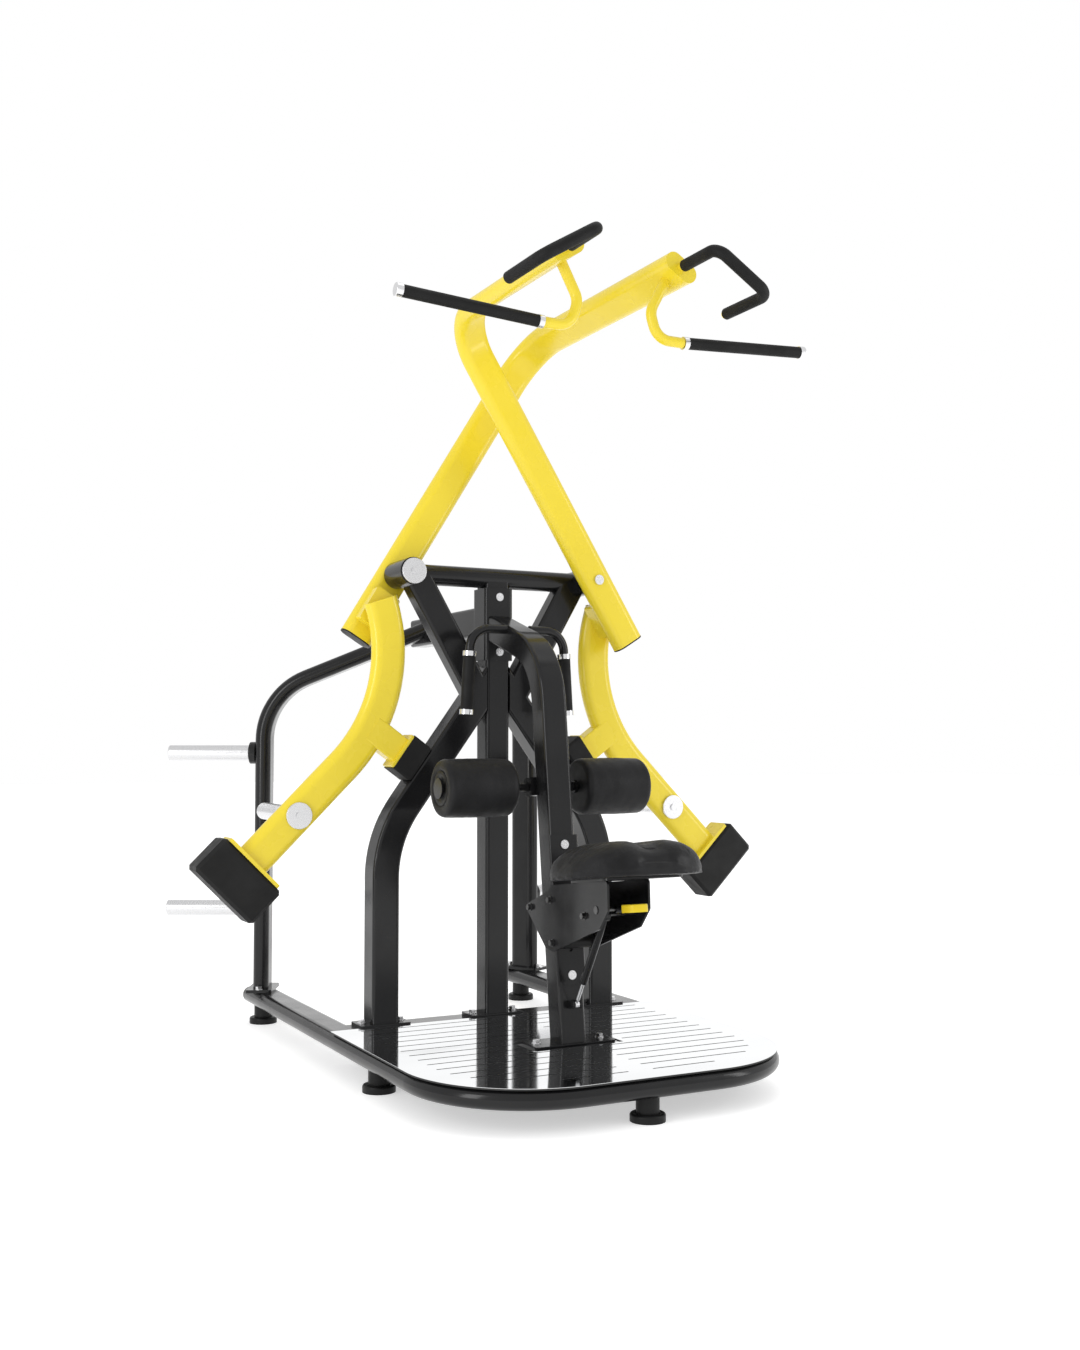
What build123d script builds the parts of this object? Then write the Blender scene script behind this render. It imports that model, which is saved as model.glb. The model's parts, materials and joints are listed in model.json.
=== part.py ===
from build123d import *
from math import cos, degrees, radians, sin, sqrt
import os

# Plate-loaded lat pulldown machine, millimetres.
# X runs across the machine, +Y from the user towards the storage posts, +Z up.
# The origin is on the floor, in the middle of the machine's footprint.
os.makedirs("parts", exist_ok=True)

# ---- Driving dimensions ----
WALL = 3.0
OVAL_LONG = 100.0
OVAL_SHORT = 50.0
FIT = 0.05
BODY_GAP = 0.5

RAIL_X = 470.0
RAIL_LONG = 100.0
RAIL_SHORT = 50.0
RAIL_Z = 84.0
RAIL_REAR_Y = 840.0
RAIL_FRONT_Y = -840.0
RAIL_CORNER_R = 280.0
PLUG_T = 4.0
RAIL_TOP = RAIL_Z + RAIL_SHORT / 2

FOOT_R = 44.0
FOOT_H = 20.0
FOOT_NECK_R = 29.0
REAR_FOOT_Y = 780.0
MID_FOOT_Y = -269.0

PLATE_T = 5.0
PLATE_INSET = 5.0
GROOVE_PITCH = 58.0
GROOVE_W = 6.0
GROOVE_DEPTH = 1.5
GROOVE_COUNT = 14
GROOVE_INSET = 75.0
GROOVE_GAP = 35.0
POST_HOLE_X = 270.0
POST_HOLE_Y = 120.0

COLUMN_W = 75.0
COLUMN_Y = 30.0
FLANGE_T = 10.0
UPRIGHT_W = 80.0
UPRIGHT_X = 350.0
UPRIGHT_BEND_Z = 638.0
UPRIGHT_BEND_R = 350.0
UPRIGHT_LEAN = 36.0
FLANGE_LIP = 3.0
BRACE_W = 80.0
BRACE_D = 60.0
BRACE_IN = 230.0
BRACE_DOWN = 396.0
CROSS_BEAM_D = 110.0

PIVOT_X = 290.0
PIVOT_Z = 1400.0
HOUSING_R = 40.0
BEARING_R = 26.0
HOUSING_L = 130.0
BEARING_L = 15.0
SHAFT_R = 15.0
WASHER_R = 37.0
WASHER_T = 8.0
HEAD_R = 10.0
HEAD_T = 4.0
SHAFT_PROUD = 6.0
SHOULDER_L = 7.0
CROSS_TUBE_R = 30.0
SLEEVE_WALL = 8.0
SLEEVE_TOP = 1368.0
SLEEVE_BOTTOM = 1154.0

LEVER_TILT = 31.7
LEVER_BELOW = 217.0
LEVER_ABOVE = 870.0
LEVER_BEND_R = 140.0
LEVER_FRONT_Y = -750.0
LEVER_LEFT_Y = 110.0
LEVER_RIGHT_Y = -75.0

ARM_Y = 20.0
ARM_ARC_R = 460.0
ARM_ARC_X = 798.0
ARM_ARC_Z = 1170.0
ARM_TOP_ANGLE = 19.0
ARM_LOW_ANGLE = -45.0
ARM_STRAIGHT = 365.0
ARM_FLANGE_L = 190.0
ARM_FLANGE_D = 84.0
BRIDGE_L = 110.0
BRIDGE_W = 80.0
BRIDGE_BELOW = 122.0
BRIDGE_SINK = 1.5
WEIGHT_L = 222.0
WEIGHT_W = 118.0
WEIGHT_D = 92.0
STUB_ANGLE = -28.4
STUB_W = 78.0
STUB_D = 60.0
BUMPER_T = 65.0
BUMPER_L = 115.0
BUMPER_D = 80.0
HORN_R = 25.0
HORN_L = 275.0
HORN_AT = 192.0
HORN_COLLAR_T = 8.0

GRIP_R = 15.5
BAR_R = 11.0
COLLAR_R = 17.0
COLLAR_L = 14.0
COLLAR_START = 1.0
END_CAP_T = 3.0
UPPER_REACH = 164.126
UPPER_SPAN = 181.0
UPPER_RETURN = 192.0
UPPER_BEND_R = 32.0
LOWER_GRIP_Y = -692.0
LOWER_GRIP_X = 207.0
LOWER_GRIP_Z = 1961.0
LOWER_GRIP_L = 394.0
HOOK_R = 14.0

REAR_POST_X = 478.0
REAR_POST_Y = 765.0
REAR_YAW = 27.4
REAR_CORNER_Z = 1068.0
REAR_BEND_R = 220.0
REAR_RISE = 22.0
SPINE_W = 60.0
SPINE_H = 90.0
SPINE_REAR_Y = 600.0
SPINE_Z = 1274.0
STORE_L = 264.0
STORE_FLANGE_R = 36.0
STORE_FLANGE_T = 23.0
STORE_HEIGHTS = (878.0, 374.0)

SEAT_POST_W = 75.0
SEAT_POST_Y = -439.0
SEAT_LEAN = 6.9
ARCH_LENGTH = 1050.0
ARCH_BEND_R = 200.0
ARCH_SLOPE = 17.5
SEAT_BASE_X = 240.0
SEAT_BASE_Y = 96.0

GUIDE_T = 6.0
GUIDE_LOW = 156.0
GUIDE_HIGH = 552.0
GUIDE_SIDE = 46.0
SIDE_T = 6.0
SIDE_X = 56.0
PIN_R = 5.0
PAD_W = 374.0
PAD_D = 322.0
PAD_T = 84.0
PAD_AHEAD = 357.0
PAD_PLATE_T = 6.0
SIDE_TOP = 419.0

STRUT_TOP_AHEAD = 243.0
STRUT_TOP_ALONG = 336.0
STRUT_LOW_AHEAD = 58.0
STRUT_LOW_ALONG = 105.0
STRUT_R = 10.0
ROD_R = 5.0
ROD_SHOWN = 73.0
EYE_GAP = 8.0
LEVER_PIN_AHEAD = 305.0
LEVER_PIN_ALONG = 349.0

ROLLER_R = 80.0
ROLLER_L = 208.0
ROLLER_X = 104.0
ROLLER_ALONG = 691.0
AXLE_R = 12.0
AXLE_BEHIND = 25.0

ASSIST_R = 13.0
ASSIST_GRIP_R = 18.0
ASSIST_GRIP_L = 152.0
ASSIST_LOW_Z = 990.0
ASSIST_TOP_Z = 1236.0
ASSIST_OUT_X = 148.0
ASSIST_SPLAY = 14.0
ASSIST_Y = -135.0
BRACKET_X = 50.0
HUB_R = 28.0
BOLT_WASHER_R = 12.0

GLIDE_R = 18.0
SEAT_STEP = 20.0
SEAT_STEPS = 5
LOCK_HOLE_R = 7.0
LEVER_BAR_W = 16.0
PADDLE_W = 50.0
PADDLE_D = 66.0
PADDLE_T = 20.0
LUG_X = 8.0
EYE_T = 12.0
ROD_HIDDEN = 110.0
POST_FLANGE_L = 148.0
POST_FLANGE_W = 84.0

SIDES = {"left": -1, "right": 1}


def save(part, name):
    part.label = name
    export_step(part, f"parts/{name}.step")


def tilt_dir(angle, side):
    """Unit vector in the XZ plane, angle measured from +Z away from the near side."""
    return Vector(-side * sin(radians(angle)), 0, cos(radians(angle)))


# ---- Base: oval rail bent into a U, closed by a cross beam and a centre beam ----
with BuildLine() as rail_path:
    FilletPolyline(
        (-RAIL_X, RAIL_REAR_Y, RAIL_Z),
        (-RAIL_X, RAIL_FRONT_Y, RAIL_Z),
        (RAIL_X, RAIL_FRONT_Y, RAIL_Z),
        (RAIL_X, RAIL_REAR_Y, RAIL_Z),
        radius=RAIL_CORNER_R,
    )
rail_end = Plane(origin=(-RAIL_X, RAIL_REAR_Y, RAIL_Z), x_dir=(1, 0, 0), z_dir=(0, -1, 0))
with BuildPart() as rail_envelope:
    with BuildSketch(rail_end):
        SlotOverall(RAIL_LONG, RAIL_SHORT)
    sweep(path=rail_path.wire())
with BuildPart() as base_rail:
    with BuildSketch(rail_end):
        SlotOverall(RAIL_LONG, RAIL_SHORT)
        SlotOverall(RAIL_LONG - 2 * WALL, RAIL_SHORT - 2 * WALL, mode=Mode.SUBTRACT)
    sweep(path=rail_path.wire())
save(base_rail.part, "base_rail")

with BuildPart() as rail_plugs:
    for side in SIDES.values():
        plug_plane = Plane(
            origin=(side * RAIL_X, RAIL_REAR_Y, RAIL_Z), x_dir=(1, 0, 0), z_dir=(0, 1, 0)
        )
        with BuildSketch(plug_plane):
            SlotOverall(RAIL_LONG, RAIL_SHORT)
        extrude(amount=PLUG_T)
save(rail_plugs.part, "rail_plugs")


def rect_tube(plane, width, depth, length, corner=10.0):
    """Hollow rectangular tube grown from a plane along its normal."""
    with BuildPart() as tube:
        with BuildSketch(plane):
            RectangleRounded(width, depth, corner)
            RectangleRounded(width - 2 * WALL, depth - 2 * WALL, corner - WALL, mode=Mode.SUBTRACT)
        extrude(amount=length)
    return tube.part


CENTRE_REAR_Y = COLUMN_Y - CROSS_BEAM_D / 2
with BuildPart() as base_beams:
    add(
        rect_tube(
            Plane(origin=(-RAIL_X, COLUMN_Y, RAIL_Z), x_dir=(0, 1, 0), z_dir=(1, 0, 0)),
            CROSS_BEAM_D,
            RAIL_SHORT,
            2 * RAIL_X,
        )
    )
    add(
        rect_tube(
            Plane(origin=(0, CENTRE_REAR_Y, RAIL_Z), x_dir=(1, 0, 0), z_dir=(0, -1, 0)),
            UPRIGHT_W,
            RAIL_SHORT,
            CENTRE_REAR_Y - RAIL_FRONT_Y,
        )
    )
    add(rail_envelope.part, mode=Mode.SUBTRACT)
save(base_beams.part, "base_beams")

# ---- Five rubber feet under the rail ----
FOOT_TOP = RAIL_Z - RAIL_SHORT / 2
FOOT_PLACES = [(s * RAIL_X, y) for s in (-1, 1) for y in (REAR_FOOT_Y, MID_FOOT_Y)]
FOOT_PLACES.append((0, RAIL_FRONT_Y))
with BuildPart() as leveling_feet:
    with BuildSketch(Plane.XY) as foot_discs:
        with Locations(FOOT_PLACES):
            Circle(FOOT_R)
    extrude(amount=FOOT_H)
    fillet(leveling_feet.edges().group_by(Axis.Z)[-1], 6)
    with BuildSketch(Plane.XY.offset(FOOT_H)) as foot_necks:
        with Locations(FOOT_PLACES):
            Circle(FOOT_NECK_R)
    extrude(amount=FOOT_TOP - FOOT_H)
save(leveling_feet.part, "leveling_feet")

# ---- Footplate: covers the front of the base, grooved, open round the seat post ----
PLATE_X = RAIL_X + RAIL_LONG / 2 - PLATE_INSET
PLATE_REAR_Y = COLUMN_Y - UPRIGHT_W / 2 - FLANGE_LIP - 1
PLATE_FRONT_Y = RAIL_FRONT_Y - RAIL_LONG / 2 + PLATE_INSET
PLATE_CORNER_R = RAIL_CORNER_R + RAIL_LONG / 2 - PLATE_INSET
GROOVE_R = PLATE_CORNER_R - GROOVE_INSET
CORNER_Y = PLATE_FRONT_Y + PLATE_CORNER_R


def groove_half(y):
    """Half length of the groove at y: it follows the outline at a constant inset."""
    if y > CORNER_Y:
        return PLATE_X - GROOVE_INSET
    return PLATE_X - PLATE_CORNER_R + sqrt(GROOVE_R**2 - (y - CORNER_Y) ** 2)


with BuildPart() as footplate:
    with BuildSketch(Plane.XY.offset(RAIL_TOP)):
        with BuildLine():
            rim = FilletPolyline(
                (-PLATE_X, PLATE_REAR_Y),
                (-PLATE_X, PLATE_FRONT_Y),
                (PLATE_X, PLATE_FRONT_Y),
                (PLATE_X, PLATE_REAR_Y),
                radius=PLATE_CORNER_R,
            )
            Line(rim @ 1, rim @ 0)
        make_face()
        with Locations((0, SEAT_POST_Y)):
            Rectangle(POST_HOLE_X, POST_HOLE_Y, mode=Mode.SUBTRACT)
    extrude(amount=PLATE_T)
    with BuildSketch(Plane.XY.offset(RAIL_TOP + PLATE_T)):
        for row in range(GROOVE_COUNT):
            groove_y = PLATE_REAR_Y - GROOVE_PITCH * (row + 0.7)
            beside_hole = abs(groove_y - SEAT_POST_Y) < POST_HOLE_Y / 2 + GROOVE_W
            start = POST_HOLE_X / 2 + GROOVE_W * 3 if beside_hole else GROOVE_GAP
            reach = groove_half(groove_y)
            with Locations([(s * (start + reach) / 2, groove_y) for s in (-1, 1)]):
                Rectangle(reach - start, GROOVE_W)
    extrude(amount=-GROOVE_DEPTH, mode=Mode.SUBTRACT)
save(footplate.part, "footplate")

# ---- Cross tube between the pivots, and the two bearing housings ----
HOUSING_CLEAR = BODY_GAP + 7.5
HOUSING_START = {
    "left": LEVER_LEFT_Y - OVAL_SHORT / 2 - HOUSING_CLEAR - HOUSING_L,
    "right": LEVER_RIGHT_Y + OVAL_SHORT / 2 + HOUSING_CLEAR,
}


def y_plane(x, y, z):
    """Plane facing +Y, with local X along the machine's X."""
    return Plane(origin=(x, y, z), x_dir=(-1, 0, 0), z_dir=(0, 1, 0))


def y_cylinder(x, y, z, radius, length):
    with BuildPart() as rod:
        with BuildSketch(y_plane(x, y, z)):
            Circle(radius)
        extrude(amount=length)
    return rod.part


with BuildPart() as pivot_housings:
    for name, side in SIDES.items():
        with BuildSketch(y_plane(side * PIVOT_X, HOUSING_START[name], PIVOT_Z)):
            Circle(HOUSING_R)
            Circle(BEARING_R, mode=Mode.SUBTRACT)
        extrude(amount=HOUSING_L)
save(pivot_housings.part, "pivot_housings")

with BuildPart() as pivot_bearings:
    for name, side in SIDES.items():
        for inset in (4.0, HOUSING_L - 4.0 - BEARING_L):
            with BuildSketch(y_plane(side * PIVOT_X, HOUSING_START[name] + inset, PIVOT_Z)):
                Circle(BEARING_R)
                Circle(SHAFT_R + FIT, mode=Mode.SUBTRACT)
            extrude(amount=BEARING_L)
save(pivot_bearings.part, "pivot_bearings")

housing_envelopes = [
    y_cylinder(side * PIVOT_X, HOUSING_START[name], PIVOT_Z, HOUSING_R, HOUSING_L)
    for name, side in SIDES.items()
]
cross_tube_plane = Plane(origin=(-PIVOT_X, ARM_Y, PIVOT_Z), x_dir=(0, 1, 0), z_dir=(1, 0, 0))
with BuildPart() as cross_tube_envelope:
    with BuildSketch(cross_tube_plane):
        Circle(CROSS_TUBE_R)
    extrude(amount=2 * PIVOT_X)
with BuildPart() as cross_tube:
    with BuildSketch(cross_tube_plane):
        Circle(CROSS_TUBE_R)
        Circle(CROSS_TUBE_R - WALL, mode=Mode.SUBTRACT)
    extrude(amount=2 * PIVOT_X)
    for envelope in housing_envelopes:
        add(envelope, mode=Mode.SUBTRACT)
save(cross_tube.part, "cross_tube")

# ---- Column with its foot flange, and the sleeve round its top ----
with BuildPart() as column_envelope:
    with BuildSketch(Plane.XY.offset(RAIL_TOP)):
        with Locations((0, COLUMN_Y)):
            Rectangle(COLUMN_W, COLUMN_W)
    extrude(amount=PIVOT_Z - RAIL_TOP)
with BuildPart() as column:
    with BuildSketch(Plane.XY.offset(RAIL_TOP)):
        with Locations((0, COLUMN_Y)):
            RectangleRounded(COLUMN_W + 90, COLUMN_W + 2 * FLANGE_LIP, 6)
    extrude(amount=FLANGE_T)
    add(
        rect_tube(
            Plane(origin=(0, COLUMN_Y, RAIL_TOP + FLANGE_T), x_dir=(1, 0, 0), z_dir=(0, 0, 1)),
            COLUMN_W,
            COLUMN_W,
            PIVOT_Z - RAIL_TOP - FLANGE_T,
        )
    )
    add(cross_tube_envelope.part, mode=Mode.SUBTRACT)
    split(bisect_by=Plane.XY.offset(PIVOT_Z), keep=Keep.BOTTOM)
save(column.part, "column")

SLEEVE_W = COLUMN_W + 2 * SLEEVE_WALL
with BuildPart() as column_sleeve:
    with BuildSketch(Plane.XY.offset(SLEEVE_BOTTOM)):
        with Locations((0, COLUMN_Y)):
            RectangleRounded(SLEEVE_W, SLEEVE_W, 12)
            RectangleRounded(COLUMN_W, COLUMN_W, 10, mode=Mode.SUBTRACT)
    extrude(amount=SLEEVE_TOP - SLEEVE_BOTTOM)
    add(cross_tube_envelope.part, mode=Mode.SUBTRACT)
save(column_sleeve.part, "column_sleeve")

# ---- Uprights: square tubes that lean in to the column ----
upright_parts = []
brace_parts = []
for name, side in SIDES.items():
    lean = radians(UPRIGHT_LEAN)
    column_reach = UPRIGHT_X / sin(lean) + UPRIGHT_W
    with BuildLine() as upright_path:
        FilletPolyline(
            (side * UPRIGHT_X, COLUMN_Y, RAIL_TOP + FLANGE_T),
            (side * UPRIGHT_X, COLUMN_Y, UPRIGHT_BEND_Z),
            (
                side * (UPRIGHT_X - column_reach * sin(lean)),
                COLUMN_Y,
                UPRIGHT_BEND_Z + column_reach * cos(lean),
            ),
            radius=UPRIGHT_BEND_R,
        )
    upright_foot = Plane(origin=(side * UPRIGHT_X, COLUMN_Y, RAIL_TOP + FLANGE_T))
    with BuildPart() as upright:
        with BuildSketch(upright_foot):
            RectangleRounded(UPRIGHT_W, UPRIGHT_W, 10)
            RectangleRounded(UPRIGHT_W - 2 * WALL, UPRIGHT_W - 2 * WALL, 10 - WALL, mode=Mode.SUBTRACT)
        sweep(path=upright_path.wire())
        split(
            bisect_by=Plane(origin=(side * COLUMN_W / 2, 0, 0), z_dir=(side, 0, 0)), keep=Keep.TOP
        )
        with BuildSketch(Plane.XY.offset(RAIL_TOP)):
            with Locations((side * UPRIGHT_X, COLUMN_Y)):
                RectangleRounded(UPRIGHT_W + 70, UPRIGHT_W + 2 * FLANGE_LIP, 6)
        extrude(amount=FLANGE_T)
    upright_parts += upright.part.solids()

    with BuildPart() as upright_envelope:
        with BuildSketch(upright_foot):
            RectangleRounded(UPRIGHT_W, UPRIGHT_W, 10)
        sweep(path=upright_path.wire())

    # V brace from the pivot housing down to the upright and column
    brace_dir = Vector(-side * BRACE_IN, 0, -BRACE_DOWN).normalized()
    brace_top = Vector(side * PIVOT_X * 0.9, ARM_Y, PIVOT_Z)
    brace_plane = Plane(origin=brace_top, x_dir=(0, 1, 0), z_dir=brace_dir)
    with BuildPart() as v_brace:
        add(rect_tube(brace_plane, BRACE_D, BRACE_W, 620))
        add(upright_envelope.part, mode=Mode.SUBTRACT)
        add(cross_tube_envelope.part, mode=Mode.SUBTRACT)
        for envelope in housing_envelopes:
            add(envelope, mode=Mode.SUBTRACT)
        split(
            bisect_by=Plane(origin=(side * COLUMN_W / 2, 0, 0), z_dir=(side, 0, 0)), keep=Keep.TOP
        )
    brace_parts.append(v_brace.part.solids().sort_by(SortBy.VOLUME)[-1])
save(Compound(children=upright_parts), "uprights")
save(Compound(children=brace_parts), "v_braces")



def arc_point(side, angle):
    """Point on the middle line of the curved arm."""
    return Vector(
        side * (ARM_ARC_X - ARM_ARC_R * cos(radians(angle))),
        ARM_Y,
        ARM_ARC_Z + ARM_ARC_R * sin(radians(angle)),
    )


# ---- Lever assemblies ----
for name, side in SIDES.items():
    lever_y = LEVER_LEFT_Y if side < 0 else LEVER_RIGHT_Y
    pivot = Vector(side * PIVOT_X, lever_y, PIVOT_Z)
    up = tilt_dir(LEVER_TILT, side)
    wide = Vector(up.Z, 0, -up.X)
    low_end = pivot - up * LEVER_BELOW
    bend = pivot + up * LEVER_ABOVE
    front_end = Vector(bend.X, LEVER_FRONT_Y, bend.Z)

    # Lever tube: oval, straight, bent forward over the user's head, closed in front
    with BuildLine() as lever_path:
        FilletPolyline(low_end, bend, front_end, radius=LEVER_BEND_R)
    if side < 0:
        shaft_y = HOUSING_START[name] - BODY_GAP
        shaft_end = lever_y + OVAL_SHORT / 2 + SHAFT_PROUD
        shoulder_y = lever_y - OVAL_SHORT / 2 - SHOULDER_L
        washer_y = shaft_y - WASHER_T
        head_y = washer_y - HEAD_T
    else:
        shaft_y = lever_y - OVAL_SHORT / 2 - SHAFT_PROUD
        shaft_end = HOUSING_START[name] + HOUSING_L + BODY_GAP
        shoulder_y = lever_y + OVAL_SHORT / 2
        washer_y = shaft_end
        head_y = washer_y + WASHER_T
    with BuildPart() as lever_tube:
        with BuildSketch(Plane(origin=low_end, x_dir=wide, z_dir=up)):
            SlotOverall(OVAL_LONG, OVAL_SHORT)
            SlotOverall(OVAL_LONG - 2 * WALL, OVAL_SHORT - 2 * WALL, mode=Mode.SUBTRACT)
        sweep(path=lever_path.wire())
        with BuildSketch(Plane(origin=front_end, x_dir=wide, z_dir=(0, 1, 0))):
            SlotOverall(OVAL_LONG, OVAL_SHORT)
        extrude(amount=WALL)
        add(
            y_cylinder(side * PIVOT_X, lever_y - OVAL_SHORT, PIVOT_Z, SHAFT_R, 2 * OVAL_SHORT),
            mode=Mode.SUBTRACT,
        )
    save(lever_tube.part, f"lever_tube_{name}")

    with BuildPart() as lever_plug:
        with BuildSketch(Plane(origin=low_end, x_dir=wide, z_dir=-up)):
            SlotOverall(OVAL_LONG, OVAL_SHORT)
        extrude(amount=PLUG_T)
    save(lever_plug.part, f"lever_plug_{name}")

    # Pivot shaft with its shoulder against the lever, and the retaining washer
    with BuildPart() as pivot_shaft:
        add(y_cylinder(side * PIVOT_X, shaft_y, PIVOT_Z, SHAFT_R, shaft_end - shaft_y))
        add(y_cylinder(side * PIVOT_X, shoulder_y, PIVOT_Z, SHAFT_R + 7, SHOULDER_L))
    with BuildPart() as pivot_washer:
        add(y_cylinder(side * PIVOT_X, washer_y, PIVOT_Z, WASHER_R, WASHER_T))
        fillet(pivot_washer.edges(), 1.5)
        add(y_cylinder(side * PIVOT_X, head_y, PIVOT_Z, HEAD_R, HEAD_T))
    shaft_set = pivot_shaft.part.solids() + pivot_washer.part.solids()
    save(Compound(children=shaft_set), f"pivot_shaft_{name}")

    # Curved arm below the pivot, with the bridge to the lever, end flange and stub
    arm_top = arc_point(side, ARM_TOP_ANGLE)
    arm_low = arc_point(side, ARM_LOW_ANGLE)
    low_rad = radians(ARM_LOW_ANGLE)
    arm_dir = Vector(-side * sin(low_rad), 0, -cos(low_rad))
    arm_side = Vector(-arm_dir.Z, 0, arm_dir.X)
    arm_end = arm_low + arm_dir * ARM_STRAIGHT
    top_rad = radians(ARM_TOP_ANGLE)
    top_dir = Vector(-side * sin(top_rad), 0, -cos(top_rad))
    with BuildLine() as arm_path:
        ThreePointArc(arm_top, arc_point(side, (ARM_TOP_ANGLE + ARM_LOW_ANGLE) / 2), arm_low)
        Line(arm_low, arm_end)
    lean = radians(UPRIGHT_LEAN)
    toward_upright = Vector(-side * cos(lean), 0, -sin(lean))
    bend_point = Vector(side * UPRIGHT_X, COLUMN_Y, UPRIGHT_BEND_Z)
    face_point = bend_point - toward_upright * (UPRIGHT_W / 2)
    stub_start = arc_point(side, STUB_ANGLE)
    stub_total = (face_point - stub_start).dot(toward_upright) - BODY_GAP
    along_face = Vector(-toward_upright.Z, 0, toward_upright.X)
    stub_plane = Plane(origin=stub_start, x_dir=along_face, z_dir=toward_upright)
    bridge_y = (ARM_Y + lever_y) / 2
    bridge_d = abs(lever_y - ARM_Y) - OVAL_SHORT
    bridge_sink = side * BRIDGE_SINK / 2
    bridge_mid = Vector(pivot.X, bridge_y, PIVOT_Z) - up * BRIDGE_BELOW
    core_angle = ARM_TOP_ANGLE - degrees(WALL / ARM_ARC_R)
    core_rad = radians(core_angle)
    core_dir = Vector(-side * sin(core_rad), 0, -cos(core_rad))
    core_top = arc_point(side, core_angle)
    with BuildLine() as core_path:
        ThreePointArc(core_top, arc_point(side, (core_angle + ARM_LOW_ANGLE) / 2), arm_low)
        Line(arm_low, arm_end)
    with BuildPart() as arm_core:
        with BuildSketch(Plane(origin=core_top, x_dir=(0, 1, 0), z_dir=core_dir)):
            SlotOverall(OVAL_LONG - 2 * WALL, OVAL_SHORT - 2 * WALL, rotation=90)
        sweep(path=core_path.wire())
    with BuildPart() as arm:
        with BuildSketch(Plane(origin=arm_top, x_dir=(0, 1, 0), z_dir=top_dir)):
            SlotOverall(OVAL_LONG, OVAL_SHORT, rotation=90)
        sweep(path=arm_path.wire())
        with BuildSketch(Plane(origin=arm_end, x_dir=arm_side, z_dir=arm_dir)):
            RectangleRounded(ARM_FLANGE_L, ARM_FLANGE_D, 8)
        extrude(amount=FLANGE_T)
        with BuildSketch(stub_plane):
            RectangleRounded(STUB_W, STUB_D - 8, 6)
        extrude(amount=stub_total - BUMPER_T - 4)
        with BuildSketch(stub_plane.offset(stub_total - BUMPER_T - 8)):
            RectangleRounded(BUMPER_L - 6, BUMPER_D - 6, 6)
        extrude(amount=8)
        bridge_plane = Plane(
            origin=bridge_mid + Vector(0, bridge_sink, 0), x_dir=wide, z_dir=(0, 1, 0)
        )
        with BuildSketch(bridge_plane):
            RectangleRounded(BRIDGE_W, BRIDGE_L, 8)
        extrude(amount=(bridge_d + BRIDGE_SINK) / 2, both=True)
        add(arm_core.part, mode=Mode.SUBTRACT)
    save(arm.part, f"arm_{name}")

    with BuildPart() as bumper:
        with BuildSketch(stub_plane.offset(stub_total - BUMPER_T)):
            RectangleRounded(BUMPER_L, BUMPER_D, 8)
        extrude(amount=BUMPER_T)
        chamfer(bumper.faces().sort_by(Axis(stub_start, toward_upright))[-1].edges(), 6)
    save(bumper.part, f"bumper_{name}")

    # Counterweight bolted to the arm's flange
    weight_plane = Plane(origin=arm_end + arm_dir * FLANGE_T, x_dir=arm_side, z_dir=arm_dir)
    with BuildPart() as counterweight:
        with BuildSketch(weight_plane):
            Rectangle(WEIGHT_L, WEIGHT_D)
        extrude(amount=WEIGHT_W)
        chamfer(counterweight.edges(), 9)
    save(counterweight.part, f"counterweight_{name}")

    # Loading horn behind the arm, its washer in front
    horn_at = arm_low + arm_dir * HORN_AT
    with BuildPart() as loading_horn:
        add(y_cylinder(horn_at.X, ARM_Y + OVAL_SHORT / 2, horn_at.Z, WASHER_R, HORN_COLLAR_T))
        add(y_cylinder(horn_at.X, ARM_Y + OVAL_SHORT / 2, horn_at.Z, HORN_R, HORN_L))
        chamfer(loading_horn.faces().sort_by(Axis.Y)[-1].edges(), 3)
    horn_face = ARM_Y - OVAL_SHORT / 2
    with BuildPart() as horn_washer:
        add(y_cylinder(horn_at.X, horn_face - WASHER_T, horn_at.Z, WASHER_R, WASHER_T))
        fillet(horn_washer.edges(), 1.5)
        add(y_cylinder(horn_at.X, horn_face - WASHER_T - HEAD_T, horn_at.Z, HEAD_R, HEAD_T))
    horn_set = loading_horn.part.solids() + horn_washer.part.solids()
    save(Compound(children=horn_set), f"loading_horn_{name}")

    # Upper handle: bar bent into a U ahead of the lever, rubber over its whole length
    corner_a = front_end + Vector(0, -UPPER_REACH, 0)
    outward = Vector(-side * abs(wide.X), 0, -abs(wide.Z))
    corner_b = corner_a + outward * UPPER_SPAN
    handle_tip = corner_b + Vector(0, UPPER_RETURN, 0)
    grip_start = front_end + Vector(0, -16, 0)
    with BuildLine() as upper_path:
        FilletPolyline(front_end, corner_a, corner_b, handle_tip, radius=UPPER_BEND_R)
    with BuildPart() as upper_bar:
        with BuildSketch(Plane(origin=front_end, x_dir=wide, z_dir=(0, -1, 0))):
            Circle(BAR_R)
        sweep(path=upper_path.wire())
    save(upper_bar.part, f"upper_bar_{name}")
    with BuildLine() as upper_grip_path:
        FilletPolyline(
            grip_start, corner_a, corner_b, handle_tip - Vector(0, 8, 0), radius=UPPER_BEND_R
        )
    with BuildPart() as upper_grip:
        with BuildSketch(Plane(origin=grip_start, x_dir=wide, z_dir=(0, -1, 0))):
            Circle(GRIP_R)
            Circle(BAR_R, mode=Mode.SUBTRACT)
        sweep(path=upper_grip_path.wire())
    save(upper_grip.part, f"upper_grip_{name}")

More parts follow.
